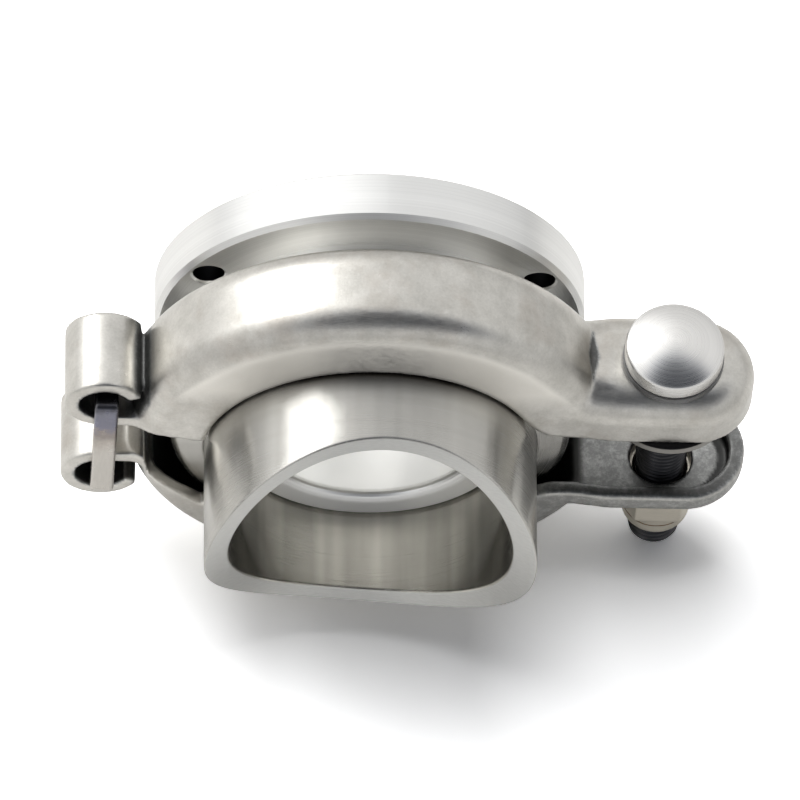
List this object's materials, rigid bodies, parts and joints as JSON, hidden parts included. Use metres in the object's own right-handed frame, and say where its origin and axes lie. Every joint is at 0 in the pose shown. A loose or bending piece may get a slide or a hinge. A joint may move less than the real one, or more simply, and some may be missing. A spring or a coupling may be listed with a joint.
{
  "type": "weld-on flange",
  "caption": "Coped weld-on tube flange joined to a drilled adapter ring by a hinged V-band clamp with a domed bolt and locking nut.",
  "frame": {"origin": "on the ring axis, in the plane where the two flange faces meet", "axes": "+Y along the ring axis from the coped tube to the adapter ring, +X from the clamp's hinge to its bolt, +Z along the bolt towards its head"},
  "size_m": [0.1052, 0.0507, 0.074],
  "materials": {
    "weld_flange": "turned, with a milled cope",
    "adapter_ring": "fine turned",
    "seal_rubber": "moulded",
    "clamp_sheet": "tumbled stamping",
    "link_steel": "satin",
    "bolt_steel": "turned head, dark thread",
    "washer_steel": "satin",
    "nut_plating": "pale plated"
  },
  "bodies": {
    "lower_half": {"lower_clamp_half": "clamp_sheet"},
    "link": {"hinge_link": "link_steel"},
    "upper_half": {"upper_clamp_half": "clamp_sheet", "clamp_bolt": "bolt_steel", "head_washer": "washer_steel", "retaining_washer": "washer_steel"},
    "nut": {"lock_nut": "nut_plating"},
    "tube_flange": {"weld_flange": "weld_flange"},
    "adapter": {"adapter_ring": "adapter_ring", "joint_seal": "seal_rubber"}
  },
  "joints": [
    {"name": "nut_travel", "type": "slide", "parent": "upper_half", "child": "nut", "axis": [0, 0, -1], "range_m": [0, 0.003]},
    {"name": "link_swing", "type": "hinge", "parent": "lower_half", "child": "link", "pos_m": [-0.0409, 0, -0.0113], "axis": [0, -1, 0], "range_deg": [0, 0.72]},
    {"name": "clamp_open", "type": "hinge", "parent": "link", "child": "upper_half", "pos_m": [-0.0409, 0, 0.0097], "axis": [0, -1, 0], "range_deg": [0, 1.08]},
    {"name": "tube_turn", "type": "hinge", "parent": "lower_half", "child": "tube_flange", "pos_m": [0, 0, 0], "axis": [0, 1, 0], "continuous": true},
    {"name": "ring_turn", "type": "hinge", "parent": "lower_half", "child": "adapter", "pos_m": [0, 0, 0], "axis": [0, 1, 0], "continuous": true}
  ],
  "couplings": [
    {"joint": "link_swing", "follows": "nut_travel", "rad_per_m": 4.147},
    {"joint": "clamp_open", "follows": "nut_travel", "rad_per_m": 6.221}
  ]
}
